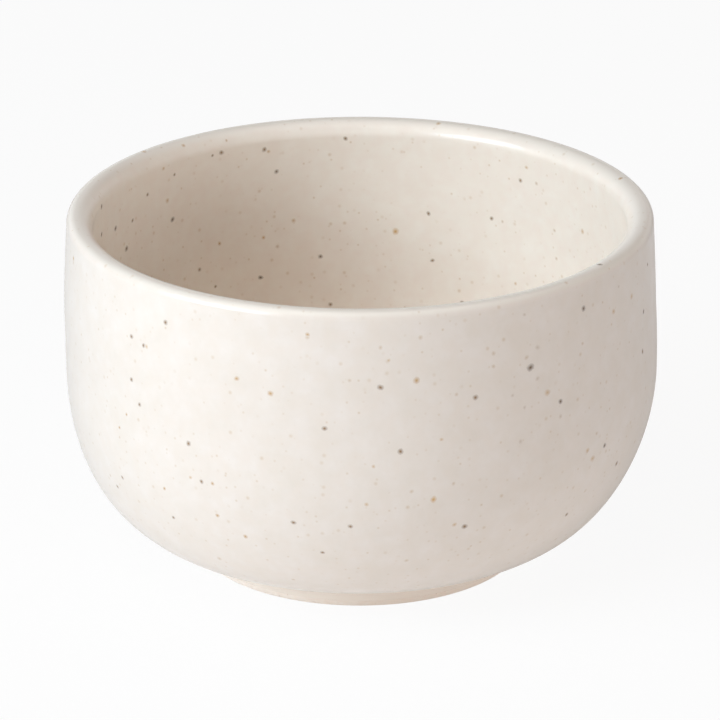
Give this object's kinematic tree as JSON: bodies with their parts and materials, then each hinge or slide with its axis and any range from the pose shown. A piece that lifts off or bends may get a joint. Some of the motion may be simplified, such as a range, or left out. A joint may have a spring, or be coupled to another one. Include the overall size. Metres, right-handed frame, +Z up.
{
  "type": "ramekin",
  "caption": "Deep round-bellied stoneware ramekin with a rounded rim, a turned bare foot ring and a speckled satin glaze, for baking and serving single portions.",
  "frame": {"origin": "middle of the standing face of the foot ring, on the table", "axes": "+Z up along the axis of turning; the pot is the same all the way round"},
  "size_m": [0.11, 0.11, 0.0664],
  "materials": {
    "stoneware_clay": "fired bare clay, matt, slightly sandy",
    "speckled_glaze": "satin cream-white glaze with dark and ochre iron specks"
  },
  "bodies": {
    "root": {"stoneware_body": "stoneware_clay", "outer_glaze": "speckled_glaze", "inner_glaze": "speckled_glaze", "well_glaze": "speckled_glaze"}
  },
  "joints": []
}
